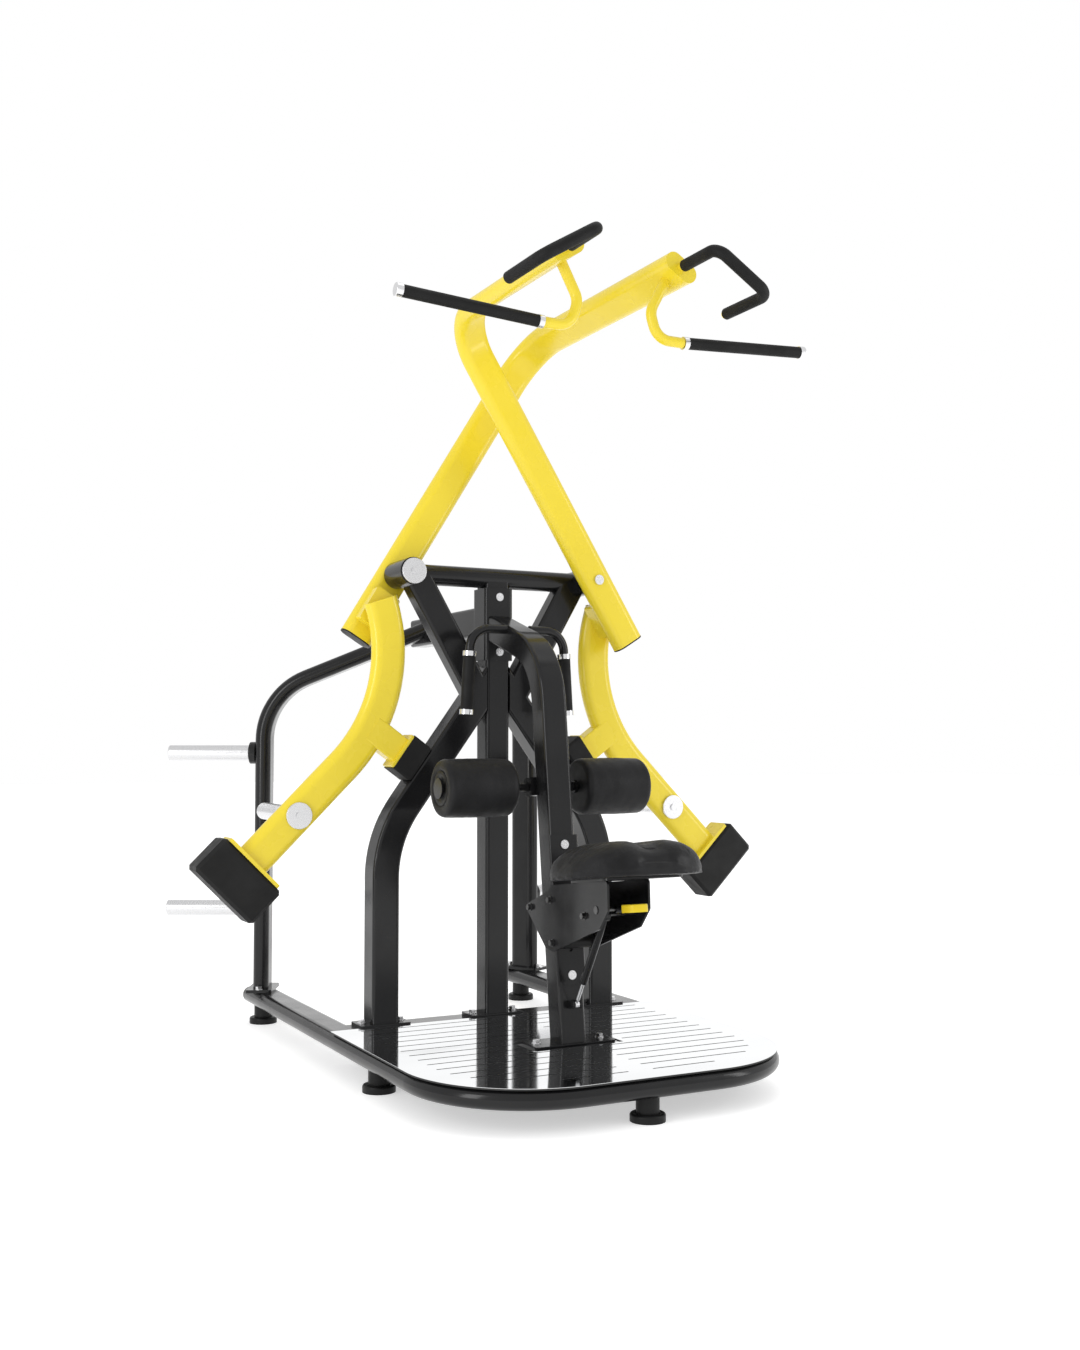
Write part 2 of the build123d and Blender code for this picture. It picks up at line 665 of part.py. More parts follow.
    # Lower handle: hook under the lever, then a straight bar held level
    hook_top = Vector(front_end.X, LOWER_GRIP_Y, front_end.Z) - up * (OVAL_SHORT / 2)
    hook_side = Vector(-side * (LOWER_GRIP_X - 100), LOWER_GRIP_Y, LOWER_GRIP_Z + 70)
    hook_low = Vector(-side * (LOWER_GRIP_X - 78), LOWER_GRIP_Y, LOWER_GRIP_Z)
    bar_start = Vector(-side * LOWER_GRIP_X, LOWER_GRIP_Y, LOWER_GRIP_Z)
    bar_end = bar_start + Vector(-side * (LOWER_GRIP_L + 10), 0, 25)
    first_dir = (hook_side - hook_top).normalized()
    hook_in = hook_top - first_dir * 6
    with BuildLine() as hook_path:
        FilletPolyline(hook_in, hook_side, hook_low, bar_start, radius=50)
    with BuildPart() as lever_hollow:
        with BuildSketch(Plane(origin=front_end, x_dir=wide, z_dir=(0, 1, 0))):
            SlotOverall(OVAL_LONG, OVAL_SHORT)
        extrude(amount=2 * OVAL_LONG)
    with BuildPart() as lower_bar:
        with BuildSketch(Plane(origin=hook_in, x_dir=(0, 1, 0), z_dir=first_dir)):
            Circle(HOOK_R)
        sweep(path=hook_path.wire())
        bar_dir = (bar_end - bar_start).normalized()
        with BuildSketch(Plane(origin=bar_start - bar_dir * 4, x_dir=(0, 1, 0), z_dir=bar_dir)):
            Circle(BAR_R)
        extrude(amount=LOWER_GRIP_L + 4)
        add(lever_hollow.part, mode=Mode.SUBTRACT)
    save(lower_bar.part, f"lower_bar_{name}")
    bar_plane = Plane(origin=bar_start, x_dir=(0, 1, 0), z_dir=bar_dir)
    with BuildPart() as lower_grip:
        with BuildSketch(bar_plane.offset(COLLAR_START + COLLAR_L)):
            Circle(GRIP_R)
            Circle(BAR_R, mode=Mode.SUBTRACT)
        extrude(amount=LOWER_GRIP_L - 2 * COLLAR_L - COLLAR_START)
    save(lower_grip.part, f"lower_grip_{name}")
    with BuildPart() as grip_collars:
        for start in (COLLAR_START, LOWER_GRIP_L - COLLAR_L):
            with BuildSketch(bar_plane.offset(start)):
                Circle(COLLAR_R)
                Circle(BAR_R, mode=Mode.SUBTRACT)
            extrude(amount=COLLAR_L)
        with BuildSketch(bar_plane.offset(LOWER_GRIP_L)):
            Circle(COLLAR_R)
        extrude(amount=END_CAP_T)
        fillet(grip_collars.faces().sort_by(Axis((0, 0, 0), bar_dir))[-1].edges(), 2)
    save(grip_collars.part, f"grip_collars_{name}")


# ---- Storage frame: two bent oval posts that meet on a spine behind the column ----
yaw = radians(REAR_YAW)
rise = radians(REAR_RISE)
SLEEVE_REAR_Y = COLUMN_Y + SLEEVE_W / 2
SLEEVE_FRONT_Y = COLUMN_Y - SLEEVE_W / 2
rear_parts = []
for side in SIDES.values():
    inward = Vector(-side * cos(yaw), -sin(yaw), 0)
    post_wide = Vector(-side * sin(yaw), cos(yaw), 0)
    run = REAR_POST_X / cos(yaw)
    post_foot = Vector(side * REAR_POST_X, REAR_POST_Y, RAIL_TOP + FLANGE_T)
    post_corner = Vector(side * REAR_POST_X, REAR_POST_Y, REAR_CORNER_Z)
    post_end = post_corner + inward * run + Vector(0, 0, run * sin(rise) / cos(rise))
    with BuildLine() as rear_path:
        FilletPolyline(post_foot, post_corner, post_end, radius=REAR_BEND_R)
    with BuildPart() as rear_post:
        with BuildSketch(Plane(origin=post_foot, x_dir=post_wide, z_dir=(0, 0, 1))):
            SlotOverall(OVAL_LONG, OVAL_SHORT)
            SlotOverall(OVAL_LONG - 2 * WALL, OVAL_SHORT - 2 * WALL, mode=Mode.SUBTRACT)
        sweep(path=rear_path.wire())
        split(
            bisect_by=Plane(origin=(side * SPINE_W / 2, 0, 0), z_dir=(side, 0, 0)), keep=Keep.TOP
        )
        foot_plate = post_foot - Vector(0, 0, FLANGE_T)
        with BuildSketch(Plane(origin=foot_plate, x_dir=post_wide, z_dir=(0, 0, 1))):
            RectangleRounded(POST_FLANGE_L, POST_FLANGE_W, 8)
        extrude(amount=FLANGE_T)
    rear_parts += rear_post.part.solids()
save(Compound(children=rear_parts), "rear_posts")

spine_plane = Plane(origin=(0, SLEEVE_REAR_Y, SPINE_Z), x_dir=(-1, 0, 0), z_dir=(0, 1, 0))
with BuildPart() as rear_spine:
    add(rect_tube(spine_plane, SPINE_W, SPINE_H, SPINE_REAR_Y - SLEEVE_REAR_Y))
    with BuildSketch(spine_plane.offset(SPINE_REAR_Y - SLEEVE_REAR_Y)):
        RectangleRounded(SPINE_W, SPINE_H, 10)
    extrude(amount=PLUG_T)
save(rear_spine.part, "rear_spine")


def storage_planes(distance):
    """Planes square to the storage horns, a distance out from each post's middle."""
    planes = []
    for side in SIDES.values():
        out = Vector(side * cos(yaw), sin(yaw), 0)
        for height in STORE_HEIGHTS:
            foot = Vector(side * REAR_POST_X, REAR_POST_Y, height) + out * distance
            planes.append(Plane(origin=foot, x_dir=(0, 0, 1), z_dir=out))
    return planes


with BuildPart() as storage_flanges:
    for plane in storage_planes(OVAL_SHORT / 2):
        with BuildSketch(plane):
            Circle(STORE_FLANGE_R)
        extrude(amount=STORE_FLANGE_T)
    fillet(storage_flanges.edges().filter_by(GeomType.CIRCLE), 4)
save(storage_flanges.part, "storage_flanges")

with BuildPart() as storage_horns:
    for plane in storage_planes(OVAL_SHORT / 2 + STORE_FLANGE_T):
        with BuildSketch(plane):
            Circle(HORN_R)
        extrude(amount=STORE_L)
    chamfer(storage_horns.edges().filter_by(GeomType.CIRCLE), 2.5)
save(storage_horns.part, "storage_horns")

# ---- Seat post: leans back, then arches over to the column sleeve ----
seat_lean = radians(SEAT_LEAN)
POST_DIR = Vector(0, sin(seat_lean), cos(seat_lean))
BACK_DIR = Vector(0, cos(seat_lean), -sin(seat_lean))
POST_BASE = Vector(0, SEAT_POST_Y, RAIL_TOP)


def post_point(x, behind, along):
    """Point beside the seat post: x across, behind its middle line, along it from the base."""
    return Vector(x, 0, 0) + POST_BASE + BACK_DIR * behind + POST_DIR * along


def post_plane(along, behind=0.0):
    return Plane(origin=post_point(0, behind, along), x_dir=(1, 0, 0), z_dir=POST_DIR)


def side_plane(x):
    """Plane parallel to YZ at x: local X runs behind the post, local Y up along it."""
    return Plane(origin=post_point(x, 0, 0), x_dir=BACK_DIR, z_dir=(1, 0, 0))


arch_bend = post_point(0, 0, ARCH_LENGTH)
slope = radians(ARCH_SLOPE)
arch_run = SLEEVE_FRONT_Y - arch_bend.Y + SEAT_POST_W
arch_end = arch_bend + Vector(0, arch_run, arch_run * sin(slope) / cos(slope))
arch_start = post_point(0, 0, -SEAT_POST_W / 4)
with BuildLine() as arch_path:
    FilletPolyline(arch_start, arch_bend, arch_end, radius=ARCH_BEND_R)
with BuildPart() as seat_post:
    with BuildSketch(Plane(origin=arch_start, x_dir=(1, 0, 0), z_dir=POST_DIR)):
        RectangleRounded(SEAT_POST_W, SEAT_POST_W, 10)
        RectangleRounded(SEAT_POST_W - 2 * WALL, SEAT_POST_W - 2 * WALL, 10 - WALL, mode=Mode.SUBTRACT)
    sweep(path=arch_path.wire())
    split(bisect_by=Plane.XY.offset(RAIL_TOP + FLANGE_T), keep=Keep.TOP)
    split(bisect_by=Plane(origin=(0, SLEEVE_FRONT_Y, 0), z_dir=(0, -1, 0)), keep=Keep.TOP)
    with BuildSketch(Plane.XY.offset(RAIL_TOP)):
        with Locations((0, SEAT_POST_Y)):
            RectangleRounded(SEAT_BASE_X, SEAT_BASE_Y, 8)
    extrude(amount=FLANGE_T)
save(seat_post.part, "seat_post")

# ---- Seat guide: channel round the post's front, with the lock holes ----
POST_HALF = SEAT_POST_W / 2
GUIDE_W = SEAT_POST_W + 2 * GUIDE_T
GUIDE_BACK = GUIDE_SIDE - POST_HALF
guide_mid = (GUIDE_BACK - POST_HALF - GUIDE_T) / 2
with BuildPart() as seat_guide:
    with BuildSketch(post_plane(GUIDE_LOW)):
        with Locations((0, guide_mid)):
            Rectangle(GUIDE_W, GUIDE_SIDE + GUIDE_T)
        with Locations((0, guide_mid + GUIDE_T / 2)):
            Rectangle(SEAT_POST_W, GUIDE_SIDE, mode=Mode.SUBTRACT)
    extrude(amount=GUIDE_HIGH - GUIDE_LOW)
    front_edges = seat_guide.edges().filter_by(Axis((0, 0, 0), POST_DIR))
    fillet(front_edges.sort_by(Axis((0, 0, 0), BACK_DIR))[:2], GUIDE_T)
    guide_front = Plane(
        origin=post_point(0, -POST_HALF - GUIDE_T - 1, 0), x_dir=(1, 0, 0), z_dir=BACK_DIR
    )
    with BuildSketch(guide_front):
        with Locations([(0, -(SIDE_TOP - 90 - SEAT_STEP * n)) for n in range(SEAT_STEPS)]):
            Circle(LOCK_HOLE_R)
    extrude(amount=GUIDE_T + 2, mode=Mode.SUBTRACT)
save(seat_guide.part, "seat_guide")

# ---- Seat carriage: two side plates under a pad plate, tied by three glide pins ----
GLIDE_PLACES = [
    (POST_HALF + GLIDE_R + BODY_GAP, 365.0),
    (-POST_HALF - GUIDE_T - GLIDE_R - BODY_GAP, 381.0),
    (-POST_HALF - GUIDE_T - GLIDE_R - BODY_GAP, 269.0),
]
FIXED_PINS = [
    (-STRUT_TOP_AHEAD, STRUT_TOP_ALONG),
    (-LEVER_PIN_AHEAD, LEVER_PIN_ALONG),
]
SIDE_OUTLINE = [
    (84, 372),
    (70, 350),
    (-20, 256),
    (-62, 246),
    (-313, 301),
    (-362, 345),
    (-368, SIDE_TOP),
    (-78, SIDE_TOP),
    (-50, 404),
]
carriage_parts = []
for x in (-SIDE_X - SIDE_T, SIDE_X):
    with BuildPart() as side_plate:
        with BuildSketch(side_plane(x)) as side_sketch:
            with BuildLine():
                Polyline(*SIDE_OUTLINE, close=True)
            make_face()
            fillet(side_sketch.vertices(), 9)
            with Locations(GLIDE_PLACES + FIXED_PINS):
                Circle(PIN_R, mode=Mode.SUBTRACT)
        extrude(amount=SIDE_T)
    carriage_parts += side_plate.part.solids()
with BuildPart() as pad_plate:
    with BuildSketch(post_plane(SIDE_TOP, -PAD_AHEAD)):
        RectangleRounded(PAD_W * 0.6, PAD_D * 0.6, 20)
    extrude(amount=PAD_PLATE_T)
carriage_parts += pad_plate.part.solids()
save(Compound(children=carriage_parts), "seat_carriage")

with BuildPart() as seat_glides:
    with BuildSketch(side_plane(-SIDE_X + BODY_GAP)):
        with Locations(GLIDE_PLACES):
            Circle(GLIDE_R)
            Circle(PIN_R, mode=Mode.SUBTRACT)
    extrude(amount=2 * (SIDE_X - BODY_GAP))
save(seat_glides.part, "seat_glides")

HEAD_OUT = SIDE_X + SIDE_T
with BuildPart() as carriage_bolts:
    with BuildSketch(side_plane(-HEAD_OUT)):
        with Locations(GLIDE_PLACES + FIXED_PINS):
            Circle(PIN_R)
    extrude(amount=2 * HEAD_OUT)
    for x, direction in ((-HEAD_OUT, -1), (HEAD_OUT, 1)):
        with BuildSketch(side_plane(x)):
            with Locations(GLIDE_PLACES + FIXED_PINS):
                Circle(HEAD_R)
        extrude(amount=direction * 2)
        with BuildSketch(side_plane(x + direction * 2)):
            with Locations(GLIDE_PLACES + FIXED_PINS[:1]):
                RegularPolygon(HEAD_R - 1.5, 6)
        extrude(amount=direction * 8)
save(carriage_bolts.part, "carriage_bolts")

with BuildPart() as seat_pad:
    with BuildSketch(post_plane(SIDE_TOP + PAD_PLATE_T, -PAD_AHEAD)):
        RectangleRounded(PAD_W, PAD_D, 130)
    extrude(amount=PAD_T)
    fillet(seat_pad.faces().sort_by(Axis((0, 0, 0), POST_DIR))[-1].edges(), 38)
save(seat_pad.part, "seat_pad")

# ---- Release lever: a paddle on a bar, hinged between the side plates ----
with BuildPart() as release_lever:
    with BuildSketch(side_plane(-LEVER_BAR_W / 2)):
        with Locations((-LEVER_PIN_AHEAD, LEVER_PIN_ALONG)):
            Circle(HEAD_R)
        with Locations((-LEVER_PIN_AHEAD - 25, LEVER_PIN_ALONG)):
            Rectangle(50, 8)
        with Locations((-LEVER_PIN_AHEAD, LEVER_PIN_ALONG)):
            Circle(PIN_R + FIT, mode=Mode.SUBTRACT)
    extrude(amount=LEVER_BAR_W)
save(release_lever.part, "release_lever")
with BuildPart() as lever_paddle:
    paddle_plane = post_plane(LEVER_PIN_ALONG - PADDLE_T / 2, -LEVER_PIN_AHEAD - 50 - PADDLE_D / 2)
    with BuildSketch(paddle_plane):
        RectangleRounded(PADDLE_W, PADDLE_D, 16)
    extrude(amount=PADDLE_T)
    fillet(lever_paddle.edges().group_by(Axis((0, 0, 0), POST_DIR))[-1], 3)
save(lever_paddle.part, "lever_paddle")

# ---- Gas strut from the post to the carriage ----
strut_low = post_point(0, -STRUT_LOW_AHEAD, STRUT_LOW_ALONG)
strut_top = post_point(0, -STRUT_TOP_AHEAD, STRUT_TOP_ALONG)
strut_dir = (strut_top - strut_low).normalized()
strut_length = (strut_top - strut_low).length


def strut_plane(distance):
    return Plane(origin=strut_low + strut_dir * distance, x_dir=(1, 0, 0), z_dir=strut_dir)


with BuildPart() as strut_bracket:
    for x in (-LUG_X - SIDE_T, LUG_X):
        with BuildSketch(side_plane(x)):
            with Locations((-STRUT_LOW_AHEAD, STRUT_LOW_ALONG)):
                Circle(2 * PIN_R)
            lug_root = STRUT_LOW_AHEAD - POST_HALF
            with Locations((-POST_HALF - lug_root / 2, STRUT_LOW_ALONG)):
                Rectangle(lug_root, 4 * PIN_R)
        extrude(amount=SIDE_T)
    with BuildSketch(side_plane(-LUG_X - SIDE_T)):
        with Locations((-STRUT_LOW_AHEAD, STRUT_LOW_ALONG)):
            Circle(PIN_R)
    extrude(amount=2 * (LUG_X + SIDE_T))
save(strut_bracket.part, "strut_bracket")

with BuildPart() as strut_rod:
    with BuildSketch(strut_plane(PIN_R + 2)):
        Circle(ROD_R)
    extrude(amount=ROD_SHOWN + ROD_HIDDEN - PIN_R - 2)
    with BuildSketch(Plane(origin=strut_low - Vector(EYE_T / 2, 0, 0), z_dir=(1, 0, 0))):
        Circle(PIN_R + 4)
    extrude(amount=EYE_T)
    with BuildSketch(Plane(origin=strut_low - Vector(EYE_T, 0, 0), z_dir=(1, 0, 0))):
        Circle(PIN_R + FIT)
    extrude(amount=2 * EYE_T, mode=Mode.SUBTRACT)
save(strut_rod.part, "strut_rod")

EYE_HOLE_R = PIN_R + EYE_GAP
EYE_R = EYE_HOLE_R + 4
with BuildPart() as strut_cylinder:
    with BuildSketch(strut_plane(ROD_SHOWN)):
        Circle(STRUT_R)
    extrude(amount=strut_length - ROD_SHOWN - EYE_R + 2)
    with BuildSketch(strut_plane(ROD_SHOWN - 1)):
        Circle(ROD_R + FIT)
    extrude(amount=12, mode=Mode.SUBTRACT)
    with BuildSketch(strut_plane(ROD_SHOWN + 10)):
        Circle(STRUT_R - 1.5)
    extrude(amount=strut_length - ROD_SHOWN - EYE_R - 14, mode=Mode.SUBTRACT)
    with BuildSketch(Plane(origin=strut_top - Vector(EYE_T / 2, 0, 0), z_dir=(1, 0, 0))):
        Circle(EYE_R)
    extrude(amount=EYE_T)
    with BuildSketch(Plane(origin=strut_top - Vector(EYE_T, 0, 0), z_dir=(1, 0, 0))):
        Circle(EYE_HOLE_R)
    extrude(amount=2 * EYE_T, mode=Mode.SUBTRACT)
save(strut_cylinder.part, "strut_cylinder")

# ---- Thigh rollers on an axle behind the post ----
AXLE_BEHIND_MID = POST_HALF + AXLE_BEHIND
ROLLER_END = ROLLER_X + ROLLER_L


def axle_plane(x):
    return Plane(
        origin=post_point(x, AXLE_BEHIND_MID, ROLLER_ALONG), x_dir=BACK_DIR, z_dir=(1, 0, 0)
    )


with BuildPart() as roller_bracket:
    with BuildSketch(side_plane(-BRACKET_X)):
        with Locations((AXLE_BEHIND_MID, ROLLER_ALONG)):
            Circle(AXLE_BEHIND)
        with Locations((POST_HALF + AXLE_BEHIND / 2, ROLLER_ALONG)):
            Rectangle(AXLE_BEHIND, 2 * AXLE_BEHIND)
        with Locations((AXLE_BEHIND_MID, ROLLER_ALONG)):
            Circle(AXLE_R, mode=Mode.SUBTRACT)
    extrude(amount=2 * BRACKET_X)
save(roller_bracket.part, "roller_bracket")

with BuildPart() as roller_axle:
    with BuildSketch(axle_plane(-ROLLER_END - BODY_GAP)):
        Circle(AXLE_R)
    extrude(amount=2 * (ROLLER_END + BODY_GAP))
    for side in SIDES.values():
        with BuildSketch(axle_plane(side * (ROLLER_END + BODY_GAP))):
            Circle(HUB_R)
        extrude(amount=side * 5)
        with BuildSketch(axle_plane(side * (ROLLER_X - BODY_GAP))):
            Circle(AXLE_R + 6)
        extrude(amount=-side * 9)
save(roller_axle.part, "roller_axle")

for name, side in SIDES.items():
    with BuildPart() as thigh_roller:
        with BuildSketch(axle_plane(side * ROLLER_X)):
            Circle(ROLLER_R)
            Circle(AXLE_R + FIT, mode=Mode.SUBTRACT)
        extrude(amount=side * ROLLER_L)
        rims = thigh_roller.edges().filter_by(GeomType.CIRCLE)
        fillet(rims.sort_by(SortBy.RADIUS)[-2:], 14)
    save(thigh_roller.part, f"thigh_roller_{name}")

# ---- Assist handles beside the arch ----
with BuildPart() as assist_bars:
    for side in SIDES.values():
        bar_root = Vector(side * POST_HALF, ASSIST_Y, ASSIST_TOP_Z)
        bar_corner = Vector(side * ASSIST_OUT_X, ASSIST_Y, ASSIST_TOP_Z)
        bar_foot = Vector(side * (ASSIST_OUT_X + ASSIST_SPLAY), ASSIST_Y, ASSIST_LOW_Z)
        with BuildLine() as assist_path:
            FilletPolyline(bar_foot, bar_corner, bar_root, radius=60)
        foot_plane = Plane(
            origin=bar_foot, x_dir=(0, 1, 0), z_dir=(bar_corner - bar_foot).normalized()
        )
        with BuildSketch(foot_plane):
            Circle(ASSIST_R)
        sweep(path=assist_path.wire())
save(assist_bars.part, "assist_bars")


def assist_rings(radius, start, length):
    """Rings on both assist bars, a distance up from their lower ends."""
    with BuildPart() as rings:
        for side in SIDES.values():
            foot = Vector(side * (ASSIST_OUT_X + ASSIST_SPLAY), ASSIST_Y, ASSIST_LOW_Z)
            corner = Vector(side * ASSIST_OUT_X, ASSIST_Y, ASSIST_TOP_Z)
            up_bar = (corner - foot).normalized()
            with BuildSketch(Plane(origin=foot + up_bar * start, x_dir=(0, 1, 0), z_dir=up_bar)):
                Circle(radius)
                Circle(ASSIST_R, mode=Mode.SUBTRACT)
            extrude(amount=length)
    return rings.part


save(assist_rings(ASSIST_GRIP_R, COLLAR_L, ASSIST_GRIP_L), "assist_grips")
assist_collars = Part() + [
    assist_rings(ASSIST_GRIP_R + 1.5, 0, COLLAR_L),
    assist_rings(ASSIST_GRIP_R + 1.5, COLLAR_L + ASSIST_GRIP_L, COLLAR_L),
]
save(assist_collars, "assist_collars")

# ---- Frame bolts: hexagon heads on the flanges, sleeve and seat guide ----
FLANGE_TOP = RAIL_TOP + FLANGE_T
flange_bolts = [(s * (UPRIGHT_X + d), COLUMN_Y) for s in (-1, 1) for d in (-58, 58)]
flange_bolts += [(s * (COLUMN_W / 2 + 28), COLUMN_Y) for s in (-1, 1)]
flange_bolts += [(s * (SEAT_BASE_X / 2 - 24), SEAT_POST_Y) for s in (-1, 1)]
for side in SIDES.values():
    for reach in (-1, 1):
        step = reach * (POST_FLANGE_L / 2 - 11)
        flange_bolts.append(
            (side * (REAR_POST_X - step * sin(yaw)), REAR_POST_Y + step * cos(yaw))
        )
front_bolts = [
    Plane(origin=(0, SLEEVE_FRONT_Y, z), x_dir=(1, 0, 0), z_dir=(0, -1, 0))
    for z in (SLEEVE_BOTTOM + 25, SLEEVE_TOP - 26)
]
front_bolts += [
    Plane(
        origin=post_point(0, -POST_HALF - GUIDE_T, along), x_dir=(1, 0, 0), z_dir=-BACK_DIR
    )
    for along in (GUIDE_LOW + 25, GUIDE_HIGH - 26)
]
with BuildPart() as frame_bolts:
    with BuildSketch(Plane.XY.offset(FLANGE_TOP)):
        with Locations(flange_bolts):
            Circle(BOLT_WASHER_R)
    extrude(amount=2)
    with BuildSketch(Plane.XY.offset(FLANGE_TOP + 2)):
        with Locations(flange_bolts):
            RegularPolygon(HEAD_R, 6)
    extrude(amount=8)
    for plane in front_bolts:
        with BuildSketch(plane):
            Circle(BOLT_WASHER_R)
        extrude(amount=3)
save(frame_bolts.part, "frame_bolts")
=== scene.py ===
import json
import math

import bpy
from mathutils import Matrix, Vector, noise


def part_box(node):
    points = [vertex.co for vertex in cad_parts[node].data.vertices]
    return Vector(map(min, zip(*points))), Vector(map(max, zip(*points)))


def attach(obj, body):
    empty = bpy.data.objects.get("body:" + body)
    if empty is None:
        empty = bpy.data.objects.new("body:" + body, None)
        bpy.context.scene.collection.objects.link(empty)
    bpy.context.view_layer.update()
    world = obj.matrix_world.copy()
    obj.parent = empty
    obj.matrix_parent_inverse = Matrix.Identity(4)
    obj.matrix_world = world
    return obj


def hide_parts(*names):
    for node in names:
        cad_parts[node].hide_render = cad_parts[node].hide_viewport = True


# Plate-loaded lat pulldown machine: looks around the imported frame. Metres, Z up.
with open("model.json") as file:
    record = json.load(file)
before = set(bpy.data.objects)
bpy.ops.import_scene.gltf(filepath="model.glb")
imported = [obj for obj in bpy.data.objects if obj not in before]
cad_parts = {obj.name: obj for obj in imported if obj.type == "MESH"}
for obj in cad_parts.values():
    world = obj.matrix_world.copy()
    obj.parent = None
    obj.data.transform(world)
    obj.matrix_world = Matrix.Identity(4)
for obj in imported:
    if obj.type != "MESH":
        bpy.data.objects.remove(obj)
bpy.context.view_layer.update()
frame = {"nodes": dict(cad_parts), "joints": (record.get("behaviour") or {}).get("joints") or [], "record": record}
nodes = frame["nodes"]
joints = {joint["name"]: joint for joint in frame["joints"]}


# ---- Materials ----
def new_material(name, rough, metallic=0.0, coat=0.0, specular=0.5, sheen=0.0):
    """Principled material with object coordinates ready for its textures."""
    material = bpy.data.materials.new(name)
    material.use_nodes = True
    tree = material.node_tree
    shader = tree.nodes["Principled BSDF"]
    shader.inputs["Roughness"].default_value = rough
    shader.inputs["Metallic"].default_value = metallic
    shader.inputs["Coat Weight"].default_value = coat
    shader.inputs["Coat Roughness"].default_value = 0.08
    shader.inputs["Specular IOR Level"].default_value = specular
    shader.inputs["Sheen Weight"].default_value = sheen
    coords = tree.nodes.new("ShaderNodeTexCoord")
    return material, tree, shader, coords


def noise_node(tree, coords, scale, detail=3.0, stretch=(1.0, 1.0, 1.0)):
    mapping = tree.nodes.new("ShaderNodeMapping")
    mapping.inputs["Scale"].default_value = stretch
    texture = tree.nodes.new("ShaderNodeTexNoise")
    texture.inputs["Scale"].default_value = scale
    texture.inputs["Detail"].default_value = detail
    tree.links.new(coords.outputs["Object"], mapping.inputs["Vector"])
    tree.links.new(mapping.outputs["Vector"], texture.inputs["Vector"])
    return texture


def tint(tree, shader, texture, dark, light):
    """Colour that drifts between two tones."""
    ramp = tree.nodes.new("ShaderNodeValToRGB")
    ramp.color_ramp.elements[0].position = 0.3
    ramp.color_ramp.elements[1].position = 0.7
    ramp.color_ramp.elements[0].color = (*dark, 1)
    ramp.color_ramp.elements[1].color = (*light, 1)
    tree.links.new(texture.outputs["Fac"], ramp.inputs["Fac"])
    tree.links.new(ramp.outputs["Color"], shader.inputs["Base Color"])


def vary_rough(tree, shader, texture, low, high):
    spread = tree.nodes.new("ShaderNodeMapRange")
    spread.inputs["From Min"].default_value = 0.3
    spread.inputs["From Max"].default_value = 0.7
    spread.inputs["To Min"].default_value = low
    spread.inputs["To Max"].default_value = high
    tree.links.new(texture.outputs["Fac"], spread.inputs["Value"])
    tree.links.new(spread.outputs["Result"], shader.inputs["Roughness"])


def bump(tree, shader, height, strength, distance):
    node = tree.nodes.new("ShaderNodeBump")
    node.inputs["Strength"].default_value = strength
    node.inputs["Distance"].default_value = distance
    tree.links.new(height, node.inputs["Height"])
    tree.links.new(node.outputs["Normal"], shader.inputs["Normal"])


def paint(name, dark, light, rough, coat, specular, peel=0.04):
    """Powder coat: faint colour drift, slight orange peel under a clear gloss."""
    material, tree, shader, coords = new_material(name, rough, coat=coat, specular=specular)
    tint(tree, shader, noise_node(tree, coords, 3.0), dark, light)
    vary_rough(tree, shader, noise_node(tree, coords, 9.0), rough - 0.05, rough + 0.07)
    bump(tree, shader, noise_node(tree, coords, 420.0, 1.0).outputs["Fac"], peel, 0.0004)
    return material


def steel(name, dark, light, rough, stretch, strength=0.12, fine=420.0):
    """Bare or plated metal with fine drawn or turned lines."""
    material, tree, shader, coords = new_material(name, rough, metallic=1.0)
    lines = noise_node(tree, coords, fine, 2.0, stretch)
    tint(tree, shader, lines, dark, light)
    vary_rough(tree, shader, lines, rough * 0.75, rough * 1.3)
    bump(tree, shader, lines.outputs["Fac"], strength, 0.0002)
    return material


def plate_with_painted_groove_shade(name, dark, light, rough, surface):
    """Polished sheet whose pressed grooves, below the surface height, get painted shade (a near-black base colour)
    and a duller finish.
    """
    material, tree, shader, coords = new_material(name, rough, metallic=1.0)
    place = tree.nodes.new("ShaderNodeSeparateXYZ")
    tree.links.new(coords.outputs["Object"], place.inputs["Vector"])
    # mask: 0 inside the grooves, 1 on the top surface; it drives the painted groove shade and the duller roughness
    groove_shade_and_dull_mask = tree.nodes.new("ShaderNodeMapRange")
    groove_shade_and_dull_mask.inputs["From Min"].default_value = surface - 0.0011
    groove_shade_and_dull_mask.inputs["From Max"].default_value = surface - 0.0004
    tree.links.new(place.outputs["Z"], groove_shade_and_dull_mask.inputs["Value"])
    drift = noise_node(tree, coords, 5.0, 2.0, (0.3, 1.0, 1.0))
    total = tree.nodes.new("ShaderNodeMath")
    total.operation = "MULTIPLY"
    tree.links.new(groove_shade_and_dull_mask.outputs["Result"], total.inputs[0])
    tree.links.new(drift.outputs["Fac"], total.inputs[1])
    ramp = tree.nodes.new("ShaderNodeValToRGB")
    # painted shade: where the mask is 0, inside the grooves, the base colour falls to near black (0.05)
    ramp.color_ramp.elements[0].position = 0.0
    ramp.color_ramp.elements[0].color = (0.05, 0.05, 0.05, 1)
    ramp.color_ramp.elements[1].position = 0.62
    ramp.color_ramp.elements[1].color = (*light, 1)
    middle = ramp.color_ramp.elements.new(0.34)
    middle.color = (*dark, 1)
    tree.links.new(total.outputs["Value"], ramp.inputs["Fac"])
    tree.links.new(ramp.outputs["Color"], shader.inputs["Base Color"])
    dull = tree.nodes.new("ShaderNodeMapRange")
    dull.inputs["To Min"].default_value = 0.5
    dull.inputs["To Max"].default_value = rough
    tree.links.new(groove_shade_and_dull_mask.outputs["Result"], dull.inputs["Value"])
    tree.links.new(dull.outputs["Result"], shader.inputs["Roughness"])
    return material


